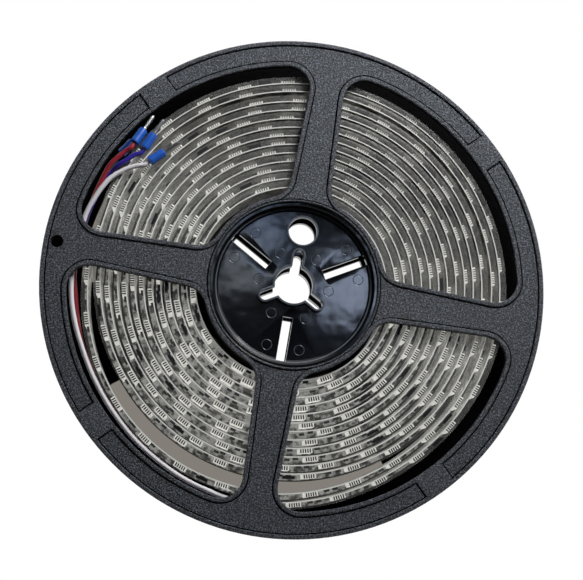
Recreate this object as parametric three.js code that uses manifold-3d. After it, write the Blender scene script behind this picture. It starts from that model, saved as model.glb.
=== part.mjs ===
// LED strip light reel, in millimetres. +Z is the reel's axis, the back flange lies on z = 0 and the
// front flange faces up. Angles are in degrees, counter-clockwise seen from the front.
import * as THREE from "three";
import { mergeVertices } from "three/addons/utils/BufferGeometryUtils.js";
import Module from "manifold-3d";

const wasm = await Module();
wasm.setup();

const CLEAR = 0.3; // air kept between pieces that touch
const SINK = 0.4; // how far a joined form runs into what carries it
const PAST = 1; // how far a cutter runs past a face
const LATHE_SIDES = 56;

// The two halves of the reel
const REEL_R = 95;
const REEL_T = 18;
const FLANGE_T = 2.2;
const PANEL_DROP = 0.5; // grained panels lie below the lips and beads
const LIP_W = 1.7;
const EDGE = 0.4; // rounding of the flange's outer edge
const BEAD_W = 1.75;
const BEAD_EDGE = 0.25;
const TAB_W = 12;
const TAB_DROP = 0.05;
const HUB_R = 33.9;
const HUB_WALL = 2.4;
const MOUTH_R = 31.5;
const FLOOR_DROP = 3.6;
const FLOOR_R = 28.5;
const FLOOR_T = 1.6;
const MOUTH_RIM = 0.95;
const MOUTH_EDGE = 0.3;
const STEP_W = 0.9; // the step inside the mouth
const STEP_DROP = 1.15;
const SEAM = 0.3;

// Front windows: four, between spokes that narrow a little outwards
const FRONT_SPOKES = [80, 170, 260, 350];
const FRONT_TABS = [35, 125, 215, 305];
const WINDOW_IN_R = 34.3;
const FRONT_OUT_R = 85;
const FRONT_HALF_IN = 8.1;
const FRONT_HALF_OUT = 6.2;

// Back windows: three, between fan-shaped spokes
const BACK_SPOKES = [72.7, 192.7, 312.7];
const BACK_TABS = [132.7, 252.7, 12.7];
const BACK_OUT_R = 81;
const BACK_HALF_IN = 9.4;
const BACK_HALF_OUT = 21.7;
const BACK_CORNER_R = 3.5;
const CORNER_R = 8.5;

// Holes
const PIN_HOLE_SIDES = 20;
const PIN_HOLE = { angle: 170, r: 90, radius: 2.4 };
const KEY_R = 7.2;
const KEY_REACH = 11.65;
const KEY_HALF = 1.85;
const KEY_RIM = 0.75;
const KEY_RIM_H = 1.8;
const KEY_ANGLES = [80, 200, 320];
const KEY_SIDES = 28;
const LOBE_SIDES = 12;
const PORT = { angle: 80, r: 21.3, radius: 5.4, rim: 0.6, rimHeight: 0.6 };
const PORT_SIDES = 24;
const SLOT_W = 3.7;
const SLOT_LIP = 2; // the slots run this far up the cup's wall
const SLOT_IN = 12.3;
const SLOT_OUT = 29.2;
const SLOT_ANGLES = [20, 140, 260];
const FLIP_ANGLE = 80; // the back half is turned over about this line, so both hubs line up

// Strip: a ribbon wound outwards clockwise. Angles count on inwards from its outer end.
const STRIP_T = 2.85;
const STRIP_W = 12;
const STRIP_Z = FLANGE_T + CLEAR;
const TURN_AIR = 0.32;
const ROLL_AIR = 0.6; // between the innermost turn and the hub
const PITCH = 3.274;
const STEP = 11.25;
const U_START = 264;
const U_ROLL = 872; // the second turn lies against the first up to here
const R_ROLL = 76.1; // mean outer radius of the tight roll there
const OFF_CENTRE = 1.5;
const OFF_ANGLE = 68;
// The loose outer turn: angle, outer radius
const LOOSE = [
  [264, 84.5], [280, 83.1], [300, 81.5], [324, 81.2], [370, 81.85], [405, 82.2], [446, 82],
  [486, 80.9], [510, 79.5], [523, 78.4], [535, 79.5], [560, 81.1], [595, 82], [626, 80.7],
];

// Solder joint cap at the strip's outer end
const CAP_GAP = 0.4; // degrees to the strip's end
const CAP_SPAN = 7.4;
const CAP_T = 3.1;
const CAP_PROUD = 1;
const CAP_INSET = 0.7;
const CAP_EDGE = 0.3;

// Leads: angle, radius, height of each route point, from the cap to the ferrule
const LEAD_R = 0.925;
const LEAD_STEPS = 28;
const STRAIGHT = 2.2; // straight end of a lead behind its ferrule
const COLLAR_R = 1.85;
const COLLAR_L = 6.6;
const PIN_R = 0.8;
const PIN_L = 6.6;
const LEADS = {
  white: {
    colour: 0xe9e6ea,
    route: [
      [255.6, 83.9, 13.2], [248, 83.5, 13.3], [238, 83.4, 13.3], [226, 83.1, 13.3],
      [215, 82.7, 13.4], [205, 82.6, 13.4], [197, 82.7, 13.5], [190, 83.2, 13.5],
      [183, 83.5, 13.6], [176, 83.3, 13.8], [168, 83, 14.1], [161, 82.7, 14.9],
      [156.4, 81.9, 15.7], [152.6, 81, 16.1], [149.4, 79.9, 16.2], [145.8, 77.5, 16.2],
      [143, 74.9, 16.4], [139.5, 71.9, 16.7],
    ],
    tip: [129, 69.7, 16.7],
  },
  red: {
    colour: 0x7c1c26,
    route: [
      [255.6, 83.9, 11], [248, 83.5, 11.1], [238, 83.4, 11.1], [226, 83, 11.1],
      [215, 82.6, 11.1], [205, 82.4, 11.1], [197, 82.4, 11.2], [190, 82.3, 11.2],
      [183, 82.2, 11.3], [176, 82.9, 11.5], [168, 83.1, 11.8], [161, 82.9, 12.6],
      [156, 82.7, 13.4], [151.5, 82.8, 14.4], [148, 83.1, 15.3], [145.8, 82.9, 15.9],
      [143.5, 82.1, 16.2], [141.2, 81.3, 16.5], [138.3, 80.9, 16.75],
    ],
    tip: [129, 84.3, 14.7],
  },
  blue: {
    colour: 0x2b2f8f,
    route: [
      [255.6, 83.9, 8.8], [248, 83.5, 8.9], [238, 83.4, 8.9], [226, 83.1, 8.9],
      [215, 82.8, 8.9], [205, 82.7, 8.9], [197, 82.9, 8.9], [190, 83.1, 8.9],
      [183, 83.3, 8.9], [176, 83.1, 9.1], [168, 83.1, 9.4], [161, 82.9, 10.2],
      [156, 82.5, 11.1], [151.5, 82.1, 12.2], [148, 81.5, 13.6], [145.8, 80.7, 15.4],
      [143.5, 79.2, 16.1], [140.8, 78, 16.4], [137.6, 76.8, 16.7],
    ],
    tip: [128.6, 79.8, 16.7],
  },
  green: {
    colour: 0x2c6b3f,
    route: [
      [255.6, 83.9, 6.6], [248, 83.5, 6.6], [238, 83.4, 6.6], [226, 83.1, 6.6],
      [215, 82.8, 6.6], [205, 82.7, 6.6], [197, 82.9, 6.6], [190, 83.1, 6.6],
      [183, 83.3, 6.6], [176, 83.3, 6.6], [168, 83.3, 6.7], [161, 83.3, 6.8],
      [155, 83.4, 7], [150, 83.6, 7.2], [146, 83.9, 7.4], [141.5, 84.2, 7.6],
    ],
    tip: [132, 84.6, 7.8],
  },
};

const PLASTIC = material(0x26272e, 0.62, 0);
const GEL = material(0xb9b8b0, 0.4, 0);
const CAP_WHITE = material(0xdcdcd8, 0.45, 0);
const COLLAR_BLUE = material(0x1a5fc4, 0.5, 0);
const TINNED = material(0xb4b6ba, 0.35, 1);

function material(color, roughness, metalness) {
  return new THREE.MeshStandardMaterial({ color, roughness, metalness });
}

function rad(degrees) {
  return (degrees * Math.PI) / 180;
}

function polar(angle, r, z = 0) {
  return new THREE.Vector3(r * Math.cos(rad(angle)), r * Math.sin(rad(angle)), z);
}

// three.js geometry to a manifold-3d solid, and back
function solidOf(geometry) {
  const loose = geometry.index ? geometry.toNonIndexed() : geometry;
  const bare = new THREE.BufferGeometry();
  bare.setAttribute("position", loose.getAttribute("position"));
  const merged = mergeVertices(bare, 1e-4);
  return new wasm.Manifold(
    new wasm.Mesh({
      numProp: 3,
      vertProperties: merged.attributes.position.array,
      triVerts: new Uint32Array(merged.index.array),
    }),
  );
}

function geometryOf(solid) {
  const mesh = solid.getMesh();
  const geometry = new THREE.BufferGeometry();
  geometry.setAttribute("position", new THREE.BufferAttribute(mesh.vertProperties, 3));
  geometry.setIndex(new THREE.BufferAttribute(mesh.triVerts, 1));
  const flat = geometry.toNonIndexed();
  flat.computeVertexNormals();
  return flat;
}

// A flat outline, [[x, y], ...], raised from z0 to z1 with its edges chamfered by edge
function raised(outline, z0, z1, edge = 0) {
  const shape = new THREE.Shape(outline.map(([x, y]) => new THREE.Vector2(x, y)));
  const geometry = new THREE.ExtrudeGeometry(shape, {
    depth: z1 - z0 - 2 * edge,
    bevelEnabled: edge > 0,
    bevelThickness: edge,
    bevelSize: edge,
    bevelOffset: -edge,
    bevelSegments: 1,
  });
  return geometry.translate(0, 0, z0 + edge);
}

function disc(centre, radius, z0, z1, sides) {
  const outline = [];
  for (let i = 0; i < sides; i += 1) {
    const a = (360 * i) / sides;
    outline.push([centre.x + radius * Math.cos(rad(a)), centre.y + radius * Math.sin(rad(a))]);
  }
  return solidOf(raised(outline, z0, z1));
}

// A bar of the given width along the ray at angle, from radius r0 to r1
function bar(angle, r0, r1, width, z0, z1) {
  const along = polar(angle, 1);
  const across = polar(angle + 90, width / 2);
  const corner = (r, side) => [along.x * r + across.x * side, along.y * r + across.y * side];
  return solidOf(raised([corner(r0, -1), corner(r1, -1), corner(r1, 1), corner(r0, 1)], z0, z1));
}

// One rounded corner of a window: an arc of radius corner tangent to a spoke's side and to the rim
function windowCorner(spoke, side, halfIn, halfOut, inR, outR, rimR, inner, corner) {
  const along = polar(spoke, 1);
  const across = polar(spoke + 90, side);
  const p = along.clone().multiplyScalar(inR).addScaledVector(across, halfIn);
  const q = along.clone().multiplyScalar(outR).addScaledVector(across, halfOut);
  const u = q.clone().sub(p).normalize();
  const n = new THREE.Vector3(-u.y * side, u.x * side, 0);
  const b = p.clone().addScaledVector(n, corner);
  const target = inner ? rimR + corner : rimR - corner;
  const half = b.dot(u);
  const s = -half + Math.sqrt(half * half - b.lengthSq() + target * target);
  const centre = b.addScaledVector(u, s);
  const onSide = centre.clone().addScaledVector(n, -corner);
  const onRim = centre.clone().setLength(rimR);
  return { centre, onSide, onRim };
}

function arcPoints(centre, from, to, count) {
  const a0 = Math.atan2(from.y - centre.y, from.x - centre.x);
  const a1 = Math.atan2(to.y - centre.y, to.x - centre.x);
  const turn = ((a1 - a0 + 3 * Math.PI) % (2 * Math.PI)) - Math.PI;
  const radius = from.clone().sub(centre).length();
  const points = [];
  for (let i = 0; i <= count; i += 1) {
    const a = a0 + (turn * i) / count;
    points.push([centre.x + radius * Math.cos(a), centre.y + radius * Math.sin(a)]);
  }
  return points;
}

// Outline of the window between two spokes, grown outwards by grow for its bead
function windowOutline(spokes, halfIn, halfOut, outR, cornerR, grow) {
  const inR = WINDOW_IN_R - Math.min(grow, WINDOW_IN_R - MOUTH_R - MOUTH_RIM);
  const rimR = outR + grow;
  const hIn = halfIn - grow;
  const hOut = halfOut - grow;
  const corner = cornerR + grow;
  const make = (spoke, side, inner) =>
    windowCorner(spoke, side, hIn, hOut, WINDOW_IN_R, outR, inner ? inR : rimR, inner, corner);
  const inA = make(spokes[0], 1, true);
  const outA = make(spokes[0], 1, false);
  const outB = make(spokes[1], -1, false);
  const inB = make(spokes[1], -1, true);
  const origin = new THREE.Vector3();
  const outline = [
    ...arcPoints(inA.centre, inA.onRim, inA.onSide, 4),
    ...arcPoints(outA.centre, outA.onSide, outA.onRim, 5),
    ...arcPoints(origin, outA.onRim, outB.onRim, 12).slice(1, -1),
    ...arcPoints(outB.centre, outB.onRim, outB.onSide, 5),
    ...arcPoints(inB.centre, inB.onSide, inB.onRim, 4),
    ...arcPoints(origin, inB.onRim, inA.onRim, 8).slice(1, -1),
  ];
  return outline;
}

// The turned part of a half: flange, rim lip, hub wall, stepped mouth and floor
function turnedHalf() {
  const top = REEL_T;
  const panel = top - PANEL_DROP;
  const under = top - FLANGE_T;
  const floor = top - FLOOR_DROP;
  const seam = REEL_T / 2 + SEAM / 2;
  const lipIn = REEL_R - LIP_W;
  const ledge = top - STEP_DROP;
  const wallIn = HUB_R - HUB_WALL;
  const coreR = KEY_R / 2;
  const profile = [
    [REEL_R - EDGE, under], [REEL_R, under + EDGE], [REEL_R, top - EDGE], [REEL_R - EDGE, top],
    [lipIn, top], [lipIn, panel], [MOUTH_R + MOUTH_RIM, panel], [MOUTH_R + MOUTH_RIM, top],
    [MOUTH_R + MOUTH_EDGE, top], [MOUTH_R, top - MOUTH_EDGE], [MOUTH_R, ledge],
    [MOUTH_R - STEP_W, ledge], [MOUTH_R - STEP_W, ledge - STEP_DROP], [FLOOR_R, floor],
    [coreR, floor], [coreR, floor - FLOOR_T], [wallIn, floor - FLOOR_T], [wallIn, seam],
    [HUB_R, seam], [HUB_R, under], [REEL_R - EDGE, under],
  ];
  const points = profile.map(([r, z]) => new THREE.Vector2(r, z));
  const lathe = new THREE.LatheGeometry(points, LATHE_SIDES).rotateX(Math.PI / 2);
  return solidOf(lathe);
}

// The keyed spindle hole, or its rim when grow is more than 0
function keyShape(grow, z0, z1) {
  let shape = disc(polar(0, 0), KEY_R + grow, z0, z1, KEY_SIDES);
  for (const a of KEY_ANGLES) {
    shape = shape.add(bar(a, KEY_HALF, KEY_REACH, 2 * (KEY_HALF + grow), z0, z1));
    shape = shape.add(disc(polar(a, KEY_REACH), KEY_HALF + grow, z0, z1, LOBE_SIDES));
  }
  return shape;
}

function floorHoles(body) {
  const floor = REEL_T - FLOOR_DROP;
  const low = floor - FLOOR_T - PAST;
  const port = polar(PORT.angle, PORT.r);
  let made = body.add(keyShape(KEY_RIM, floor - FLOOR_T, floor + KEY_RIM_H));
  made = made.add(disc(port, PORT.radius + PORT.rim, floor - SINK, floor + PORT.rimHeight, PORT_SIDES));
  made = made.subtract(keyShape(0, low, REEL_T));
  made = made.subtract(disc(port, PORT.radius, low, REEL_T, PORT_SIDES));
  for (const a of SLOT_ANGLES) {
    made = made.subtract(bar(a, SLOT_IN, SLOT_OUT, SLOT_W, low, floor + SLOT_LIP));
  }
  return made;
}

// One moulded half, with its face at z = REEL_T
function half(spokes, tabs, halfIn, halfOut, outR, cornerR, pinHole) {
  const top = REEL_T;
  let body = turnedHalf();
  const pairs = spokes.map((s, i) => [s, spokes[(i + 1) % spokes.length]]);
  for (const pair of pairs) {
    const bead = windowOutline(pair, halfIn, halfOut, outR, cornerR, BEAD_W);
    body = body.add(solidOf(raised(bead, top - FLANGE_T, top, BEAD_EDGE)));
  }
  for (const a of tabs) {
    const r0 = outR + BEAD_W - SINK;
    const r1 = REEL_R - LIP_W + SINK;
    body = body.add(bar(a, r0, r1, TAB_W, top - PANEL_DROP - SINK, top - TAB_DROP));
  }
  for (const pair of pairs) {
    const opening = windowOutline(pair, halfIn, halfOut, outR, cornerR, 0);
    body = body.subtract(solidOf(raised(opening, top - FLANGE_T - PAST, top + PAST)));
  }
  if (pinHole) {
    const at = polar(pinHole.angle, pinHole.r);
    body = body.subtract(disc(at, pinHole.radius, top - FLANGE_T - PAST, top + PAST, PIN_HOLE_SIDES));
  }
  return floorHoles(body);
}

function frontHalf() {
  const body = half(
    FRONT_SPOKES, FRONT_TABS, FRONT_HALF_IN, FRONT_HALF_OUT, FRONT_OUT_R, CORNER_R, PIN_HOLE,
  );
  return geometryOf(body);
}

function backHalf() {
  const turned = (angles) => angles.map((a) => 2 * FLIP_ANGLE - a).reverse();
  const body = half(
    turned(BACK_SPOKES), turned(BACK_TABS), BACK_HALF_IN, BACK_HALF_OUT, BACK_OUT_R,
    BACK_CORNER_R, null,
  );
  const flip = new THREE.Matrix4().makeRotationAxis(polar(FLIP_ANGLE, 1), Math.PI);
  return geometryOf(body).applyMatrix4(flip).translate(0, 0, REEL_T);
}

// Outer radius of the strip at unwrapped angle u, smooth through the LOOSE points
function looseRadius(u) {
  const i = Math.min(LOOSE.findIndex((p, k) => k > 0 && u <= p[0]), LOOSE.length - 1) - 1;
  const slope = (k) => {
    const a = LOOSE[Math.max(k - 1, 0)];
    const b = LOOSE[Math.min(k + 1, LOOSE.length - 1)];
    return (b[1] - a[1]) / (b[0] - a[0]);
  };
  const [u0, r0] = LOOSE[i];
  const [u1, r1] = LOOSE[i + 1];
  const h = u1 - u0;
  const t = (u - u0) / h;
  return (
    r0 * (2 * t ** 3 - 3 * t ** 2 + 1) + h * slope(i) * (t ** 3 - 2 * t ** 2 + t) +
    r1 * (3 * t ** 2 - 2 * t ** 3) + h * slope(i + 1) * (t ** 3 - t ** 2)
  );
}

function tightRadius(u) {
  const r = R_ROLL - (PITCH * (u - U_ROLL)) / 360;
  const share = Math.min(Math.max((r - HUB_R - STRIP_T) / (R_ROLL - HUB_R - STRIP_T), 0), 1);
  return r + OFF_CENTRE * share * Math.cos(rad(u - OFF_ANGLE));
}

// Outer radii at every station, each turn kept TURN_AIR inside the one round it, down to the hub
function stripRadii() {
  const perTurn = 360 / STEP;
  const least = HUB_R + ROLL_AIR + STRIP_T;
  const radii = [];
  for (let u = U_START; ; u += STEP) {
    const nested = radii.length < perTurn ? looseRadius(u) : radii.at(-perTurn) - STRIP_T - TURN_AIR;
    const r = u < U_ROLL ? nested : Math.min(nested, tightRadius(u));
    if (r < least) return radii;
    radii.push(r);
  }
}

// The whole roll: one ribbon from its outer end to the hub
function ledStrip() {
  const radii = stripRadii();
  const positions = [];
  const index = [];
  const low = STRIP_Z;
  const high = STRIP_Z + STRIP_W;
  radii.forEach((r, i) => {
    const a = U_START + i * STEP;
    const corners = [[r, low], [r, high], [r - STRIP_T, high], [r - STRIP_T, low]];
    for (const [radius, z] of corners) positions.push(...polar(a, radius, z).toArray());
    if (i === 0) return;
    for (let k = 0; k < 4; k += 1) {
      const p = 4 * (i - 1) + k;
      const q = 4 * (i - 1) + ((k + 1) % 4);
      index.push(p, p + 4, q, q, p + 4, q + 4);
    }
  });
  const last = 4 * (radii.length - 1);
  index.push(0, 1, 2, 0, 2, 3, last, last + 2, last + 1, last, last + 3, last + 2);
  const band = new THREE.BufferGeometry();
  band.setAttribute("position", new THREE.Float32BufferAttribute(positions, 3));
  band.setIndex(index);
  return geometryOf(solidOf(band));
}

function solderCap() {
  const outR = LOOSE[0][1] + CAP_PROUD;
  const origin = new THREE.Vector3();
  const from = U_START - CAP_GAP;
  const to = from - CAP_SPAN;
  const outline = [
    ...arcPoints(origin, polar(from, outR), polar(to, outR), 4),
    ...arcPoints(origin, polar(to, outR - CAP_T), polar(from, outR - CAP_T), 4),
  ];
  return raised(outline, STRIP_Z + CAP_INSET, STRIP_Z + STRIP_W - CAP_INSET, CAP_EDGE);
}

// A lead along its route, its last stretch in line with its ferrule
function lead(route, tip) {
  const points = route.map(([a, r, z]) => polar(a, r, z));
  const end = points.pop();
  const along = tip.clone().sub(end).normalize();
  points.push(end.clone().addScaledVector(along, -STRAIGHT), end);
  const path = new THREE.CatmullRomCurve3(points);
  const section = new THREE.Shape();
  for (let i = 0; i < 8; i += 1) {
    const x = LEAD_R * Math.cos(rad(45 * i));
    const y = LEAD_R * Math.sin(rad(45 * i));
    if (i === 0) section.moveTo(x, y);
    else section.lineTo(x, y);
  }
  section.closePath();
  return new THREE.ExtrudeGeometry(section, {
    steps: LEAD_STEPS,
    extrudePath: path,
    bevelEnabled: false,
  });
}

// A round bar of radius r from distance d0 to d1 along the line from a to b
function rod(a, b, d0, d1, r, sides) {
  const along = b.clone().sub(a).normalize();
  const geometry = new THREE.CylinderGeometry(r, r, d1 - d0, sides);
  const turn = new THREE.Quaternion().setFromUnitVectors(new THREE.Vector3(0, 1, 0), along);
  const middle = a.clone().addScaledVector(along, (d0 + d1) / 2);
  return geometry.applyQuaternion(turn).translate(middle.x, middle.y, middle.z);
}

const reel = new THREE.Group();
reel.name = "led_strip_light_reel";

function place(name, geometry, look) {
  const mesh = new THREE.Mesh(geometry, look);
  mesh.name = name;
  reel.add(mesh);
}

place("front_half", frontHalf(), PLASTIC);
place("back_half", backHalf(), PLASTIC);
place("led_strip", ledStrip(), GEL);
place("solder_cap", solderCap(), CAP_WHITE);
for (const [name, one] of Object.entries(LEADS)) {
  const [a, r, z] = one.route[one.route.length - 1];
  const start = polar(a, r, z);
  const tip = polar(...one.tip);
  place("lead_" + name, lead(one.route, tip), material(one.colour, 0.45, 0));
  place("collar_" + name, rod(start, tip, CLEAR, CLEAR + COLLAR_L, COLLAR_R, 16), COLLAR_BLUE);
  const pinStart = 2 * CLEAR + COLLAR_L;
  place("pin_" + name, rod(start, tip, pinStart, pinStart + PIN_L, PIN_R, 10), TINNED);
}

export default reel;
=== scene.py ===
# %% [markdown]
# An LED strip light reel, dressed for its picture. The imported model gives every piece's place in
# metres: the reel lies on z = 0 with its axis along +Z, and angles count counter-clockwise seen from
# the front. The frame is loaded first, so that each new piece can be measured against it.

# %% Load the frame
import math

import bmesh
import bpy
from mathutils import Matrix, Vector


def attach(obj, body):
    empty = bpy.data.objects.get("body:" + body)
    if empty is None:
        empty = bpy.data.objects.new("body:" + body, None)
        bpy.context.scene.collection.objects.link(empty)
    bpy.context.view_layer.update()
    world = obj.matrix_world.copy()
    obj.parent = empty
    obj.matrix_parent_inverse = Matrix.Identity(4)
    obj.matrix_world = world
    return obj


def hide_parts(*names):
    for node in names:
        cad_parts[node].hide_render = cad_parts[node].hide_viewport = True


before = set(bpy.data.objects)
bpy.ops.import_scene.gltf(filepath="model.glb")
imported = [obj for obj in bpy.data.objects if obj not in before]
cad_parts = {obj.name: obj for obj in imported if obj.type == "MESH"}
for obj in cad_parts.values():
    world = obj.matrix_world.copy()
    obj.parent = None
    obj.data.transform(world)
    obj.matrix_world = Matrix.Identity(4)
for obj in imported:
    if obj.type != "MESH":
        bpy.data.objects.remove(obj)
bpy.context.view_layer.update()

MM = 0.001
print("nodes:", len(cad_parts))


# %% Small helpers
def polar(angle, r, z=0.0):
    """A point in metres from an angle in degrees, a radius and a height in millimetres."""
    a = math.radians(angle)
    return Vector((r * math.cos(a), r * math.sin(a), z)) * MM


def deselect():
    for o in bpy.context.selected_objects:
        o.select_set(False)
    bpy.context.view_layer.objects.active = None


def pick(piece):
    deselect()
    piece.select_set(True)
    bpy.context.view_layer.objects.active = piece


def rename(name):
    """Names the object that an operator has just added, with its place moved into its mesh."""
    piece = bpy.context.object
    piece.name = name
    piece.data.name = name
    bpy.ops.object.transform_apply(location=True, rotation=True, scale=True)
    return piece


def linked(name, data):
    """A new object in the scene, with this mesh, curve or camera."""
    piece = bpy.data.objects.new(name, data)
    bpy.context.scene.collection.objects.link(piece)
    return piece


def outward(piece):
    """Turns every face of a closed piece outwards."""
    pick(piece)
    bpy.ops.object.mode_set(mode="EDIT")
    bpy.ops.mesh.select_all(action="SELECT")
    bpy.ops.mesh.normals_make_consistent(inside=False)
    bpy.ops.object.mode_set(mode="OBJECT")
    return piece


def spun(name, profile, steps, merge):
    """A closed solid spun about the Z axis. The profile is (radius, height) in millimetres."""
    mesh = bpy.data.meshes.new(name)
    mesh.from_pydata([Vector((r, 0, z)) * MM for r, z in profile],
                     [(i, i + 1) for i in range(len(profile) - 1)], [])
    piece = linked(name, mesh)
    pick(piece)
    bpy.ops.object.mode_set(mode="EDIT")
    bpy.ops.mesh.select_all(action="SELECT")
    bpy.ops.mesh.spin(steps=steps, angle=math.tau, center=(0, 0, 0), axis=(0, 0, 1))
    bpy.ops.mesh.select_all(action="SELECT")
    bpy.ops.mesh.remove_doubles(threshold=merge * MM)
    bpy.ops.object.mode_set(mode="OBJECT")
    return outward(piece)


def apply(piece, kind, **settings):
    """Adds one modifier and applies it."""
    pick(piece)
    modifier = piece.modifiers.new(kind.lower(), kind)
    for key, value in settings.items():
        setattr(modifier, key, value)
    bpy.ops.object.modifier_apply(modifier=modifier.name)
    return piece


def ready(piece, look):
    """Gives a finished piece its material and its body."""
    piece.data.materials.clear()
    piece.data.materials.append(look)
    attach(piece, "root")
    return piece


# %% [markdown]
# A material here is a node tree around one Principled shader. Colours are written as the hex values
# that a picture shows, so one function turns them to the linear numbers that Blender computes with.

# %% Colours and shader nodes
def linear(hex_colour):
    parts = [int(hex_colour[i:i + 2], 16) / 255 for i in (1, 3, 5)]
    return [c / 12.92 if c <= 0.04045 else ((c + 0.055) / 1.055) ** 2.4 for c in parts] + [1.0]


def node(tree, kind, settings=None, **links):
    """Adds one shader node. A setting is a property or an input's value; a link is an output."""
    made = tree.nodes.new(kind)
    for key, value in (settings or {}).items():
        if hasattr(made, key):
            setattr(made, key, value)
        else:
            made.inputs[key].default_value = value
    for key, source in links.items():
        tree.links.new(source, made.inputs[int(key[2:]) if key.startswith("in") else key])
    return made


def new_material(name, hex_colour, roughness, **shader):
    """A material with one Principled shader, ready for patterns to be added."""
    material = bpy.data.materials.new(name)
    material.use_nodes = True
    surface = material.node_tree.nodes["Principled BSDF"]
    surface.inputs["Base Color"].default_value = linear(hex_colour)
    surface.inputs["Roughness"].default_value = roughness
    for key, value in shader.items():
        surface.inputs[key.replace("_", " ")].default_value = value
    return material, material.node_tree, surface


# %% [markdown]
# The photograph was taken from close by, a little below and to the left of the reel's middle, with
# the picture plane almost level with the front flange. So the camera leans only a few degrees, and a
# little lens shift brings the reel back to the middle of the frame.

# %% Camera
PHOTO_WIDTH = 583
PHOTO_HEIGHT = 580
PHOTO_MM = 0.375  # one photograph pixel on the front flange
PHOTO_CENTRE = (294.4, 283.7)
CAMERA_SIDE = 244.5  # the side that the camera stands on, in degrees
CAMERA_TILT = 7.5
CAMERA_HEIGHT = 0.42
SHIFT = 0.16
FRONT = 0.018


def camera():
    width = PHOTO_WIDTH * PHOTO_MM * MM
    off_axis = math.atan(SHIFT * width / CAMERA_HEIGHT)
    side = polar(CAMERA_SIDE, 1000)
    turn = Matrix.Rotation(math.radians(CAMERA_TILT), 4, side.cross(Vector((0, 0, 1))) * -1)
    lean = math.radians(CAMERA_TILT) + off_axis
    spot = Vector((0, 0, FRONT)) + (
        Vector((0, 0, 1)) + side * math.tan(lean)) * CAMERA_HEIGHT
    data = bpy.data.cameras.new("camera")
    eye = linked("camera", data)
    eye.matrix_world = Matrix.Translation(spot) @ turn
    bpy.context.view_layer.update()
    seen = eye.matrix_world.inverted() @ Vector((0, 0, FRONT))
    data.lens = data.sensor_width * -seen.z / width
    scale = data.lens / data.sensor_width / -seen.z
    wanted_x = (PHOTO_CENTRE[0] - PHOTO_WIDTH / 2) / PHOTO_WIDTH
    wanted_y = (PHOTO_HEIGHT / 2 - PHOTO_CENTRE[1]) / PHOTO_WIDTH
    data.shift_x = seen.x * scale - wanted_x
    data.shift_y = seen.y * scale - wanted_y
    data.clip_start = 0.01
    bpy.context.scene.camera = eye
    print("lens %.1f mm, shift %.3f %.3f" % (data.lens, data.shift_x, data.shift_y))


camera()


# %% [markdown]
# Four insulated wires are soldered to the strip's outer end and run round the roll to their ferrules.
# Each is one smooth curve through the same points that the frame's solid follows.

# %% Lead routes
LEAD_R = 0.925
LEAD_END = 2.2  # the straight end of the wire, inside its ferrule's sleeve
LEADS = {  # (degrees, radius, height) along each wire, then the point that its ferrule aims at
    "white": (
        [(255.6, 83.9, 13.2), (248, 83.5, 13.3), (238, 83.4, 13.3), (226, 83.1, 13.3),
         (215, 82.7, 13.4), (205, 82.6, 13.4), (197, 82.7, 13.5), (190, 83.2, 13.5),
         (183, 83.5, 13.6), (176, 83.3, 13.8), (168, 83, 14.1), (161, 82.7, 14.9),
         (156.4, 81.9, 15.7), (152.6, 81, 16.1), (149.4, 79.9, 16.2), (145.8, 77.5, 16.2),
         (143, 74.9, 16.4), (139.5, 71.9, 16.7)],
        (129, 69.7, 16.7)),
    "red": (
        [(255.6, 83.9, 11), (248, 83.5, 11.1), (238, 83.4, 11.1), (226, 83, 11.1),
         (215, 82.6, 11.1), (205, 82.4, 11.1), (197, 82.4, 11.2), (190, 82.3, 11.2),
         (183, 82.2, 11.3), (176, 82.9, 11.5), (168, 83.1, 11.8), (161, 82.9, 12.6),
         (156, 82.7, 13.4), (151.5, 82.8, 14.4), (148, 83.1, 15.3), (145.8, 82.9, 15.9),
         (143.5, 82.1, 16.2), (141.2, 81.3, 16.5), (138.3, 80.9, 16.75)],
        (129, 84.3, 14.7)),
    "blue": (
        [(255.6, 83.9, 8.8), (248, 83.5, 8.9), (238, 83.4, 8.9), (226, 83.1, 8.9),
         (215, 82.8, 8.9), (205, 82.7, 8.9), (197, 82.9, 8.9), (190, 83.1, 8.9),
         (183, 83.3, 8.9), (176, 83.1, 9.1), (168, 83.1, 9.4), (161, 82.9, 10.2),
         (156, 82.5, 11.1), (151.5, 82.1, 12.2), (148, 81.5, 13.6), (145.8, 80.7, 15.4),
         (143.5, 79.2, 16.1), (140.8, 78, 16.4), (137.6, 76.8, 16.7)],
        (128.6, 79.8, 16.7)),
    "green": (
        [(255.6, 83.9, 6.6), (248, 83.5, 6.6), (238, 83.4, 6.6), (226, 83.1, 6.6),
         (215, 82.8, 6.6), (205, 82.7, 6.6), (197, 82.9, 6.6), (190, 83.1, 6.6),
         (183, 83.3, 6.6), (176, 83.3, 6.6), (168, 83.3, 6.7), (161, 83.3, 6.8),
         (155, 83.4, 7), (150, 83.6, 7.2), (146, 83.9, 7.4), (141.5, 84.2, 7.6)],
        (132, 84.6, 7.8)),
}


def lead_points(route, tip):
    points = [polar(*p) for p in route]
    end = points.pop()
    along = (polar(*tip) - end).normalized()
    return points + [end - along * LEAD_END * MM, end]


def lead_curve(name, points):
    data = bpy.data.curves.new(name, "CURVE")
    data.dimensions = "3D"
    data.bevel_depth = LEAD_R * MM
    data.bevel_resolution = 3
    data.use_fill_caps = True
    spline = data.splines.new("BEZIER")
    spline.bezier_points.add(len(points) - 1)
    for i, (knot, p) in enumerate(zip(spline.bezier_points, points)):
        before = points[max(i - 1, 0)]
        after = points[min(i + 1, len(points) - 1)]
        slope = (after - before) / 6
        knot.co = p
        knot.handle_left = p - slope
        knot.handle_right = p + slope
    return linked(name, data)


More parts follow.
